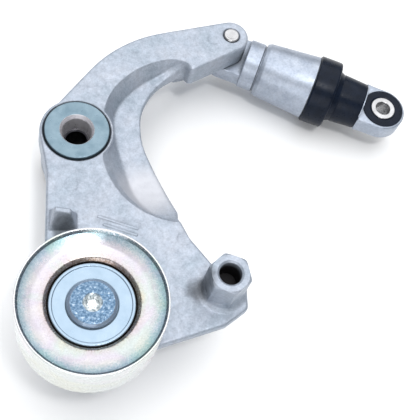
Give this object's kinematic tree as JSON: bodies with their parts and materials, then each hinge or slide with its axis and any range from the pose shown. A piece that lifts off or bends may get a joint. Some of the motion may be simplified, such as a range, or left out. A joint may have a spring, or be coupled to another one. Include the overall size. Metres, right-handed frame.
{
  "type": "hydraulic belt tensioner idler",
  "caption": "C-shaped die-cast arm on a pivot sleeve, with a smooth idler pulley on a ball bearing, a hexagonal wrench boss and a booted hydraulic spring strut ending in a bushed eye.",
  "frame": {"origin": "on the pivot axis, at the rear face that bolts to the engine", "axes": "+Z along the pivot axis towards the pulley, +X from the pivot towards the strut's eye, +Y from the pulley towards the pivot"},
  "size_m": [0.2257, 0.2186, 0.073],
  "materials": {
    "die_cast": "satin die-cast aluminium, faintly mottled",
    "zinc_disc": "pale blue zinc plate",
    "pulley_zinc": "bright zinc with a faint yellow and green sheen",
    "bearing_steel": "ground bearing steel",
    "seal_rubber": "black rubber",
    "bush_polymer": "bronze-grey bearing polymer",
    "housing_alu": "turned aluminium",
    "boot_rubber": "satin black rubber",
    "pin_steel": "bright steel",
    "hard_steel": "hardened steel",
    "spring_steel": "dark spring steel",
    "cage_brass": "brass"
  },
  "bodies": {
    "pivot": {"pivot_sleeve": "zinc_disc", "rear_thrust_ring": "hard_steel"},
    "arm": {"arm_casting": "die_cast", "front_pivot_bush": "bush_polymer", "rear_pivot_bush": "bush_polymer", "front_dust_seal": "seal_rubber", "rear_dust_seal": "seal_rubber", "bearing_inner_race": "bearing_steel", "bearing_spacer": "hard_steel", "dust_cap": "zinc_disc", "pulley_bolt": "zinc_disc", "damper_pin": "pin_steel"},
    "pulley": {"pulley_shell": "pulley_zinc", "bearing_outer_race": "bearing_steel", "front_bearing_seal": "seal_rubber", "rear_bearing_seal": "seal_rubber"},
    "cage": {"bearing_cage": "cage_brass", "bearing_balls": "bearing_steel"},
    "damper_cylinder": {"damper_housing": "housing_alu", "tongue_bush": "bush_polymer", "pressure_sleeve": "hard_steel", "valve_seat": "hard_steel", "valve_retainer": "hard_steel", "valve_spring": "spring_steel", "rod_guide": "bush_polymer", "boot_collar": "boot_rubber"},
    "check_ball": {"valve_ball": "bearing_steel"},
    "damper_rod": {"piston_rod": "hard_steel", "spring_seat": "hard_steel", "return_spring": "spring_steel", "boot_fold": "boot_rubber", "boot_neck": "boot_rubber", "rod_eye": "housing_alu", "eye_bush": "boot_rubber"},
    "eye": {"eye_sleeve": "pin_steel"}
  },
  "joints": [
    {"name": "arm_pivot", "type": "hinge", "parent": "pivot", "child": "arm", "pos_m": [0, 0, 0], "axis": [0, 0, 1], "range_deg": [-7.5, 0]},
    {"name": "pulley_spin", "type": "hinge", "parent": "arm", "child": "pulley", "pos_m": [0.0039, -0.1052, 0.0588], "axis": [0, 0, 1], "continuous": true},
    {"name": "cage_spin", "type": "hinge", "parent": "arm", "child": "cage", "pos_m": [0.0039, -0.1052, 0.0588], "axis": [0, 0, 1], "continuous": true},
    {"name": "damper_swing", "type": "hinge", "parent": "arm", "child": "damper_cylinder", "pos_m": [0.08965, 0.065, 0.0205], "axis": [0, 0, 1], "range_deg": [-20, 20]},
    {"name": "valve_lift", "type": "slide", "parent": "damper_cylinder", "child": "check_ball", "axis": [0.9232, -0.3843, 0], "range_m": [0, 0.0003], "stiffness_N_per_m": 40, "springref_m": -0.0004},
    {"name": "rod_slide", "type": "slide", "parent": "damper_cylinder", "child": "damper_rod", "axis": [-0.9232, 0.3843, 0], "range_m": [0, 0.012], "stiffness_N_per_m": 1500, "springref_m": -0.004, "deforming": ["return_spring", "boot_fold"]},
    {"name": "eye_twist", "type": "hinge", "parent": "damper_rod", "child": "eye", "pos_m": [0.18114, 0.02692, 0.0205], "axis": [0, 0, 1], "range_deg": [-12, 12]}
  ],
  "couplings": [
    {"joint": "cage_spin", "follows": "pulley_spin", "ratio": 0.6184}
  ]
}
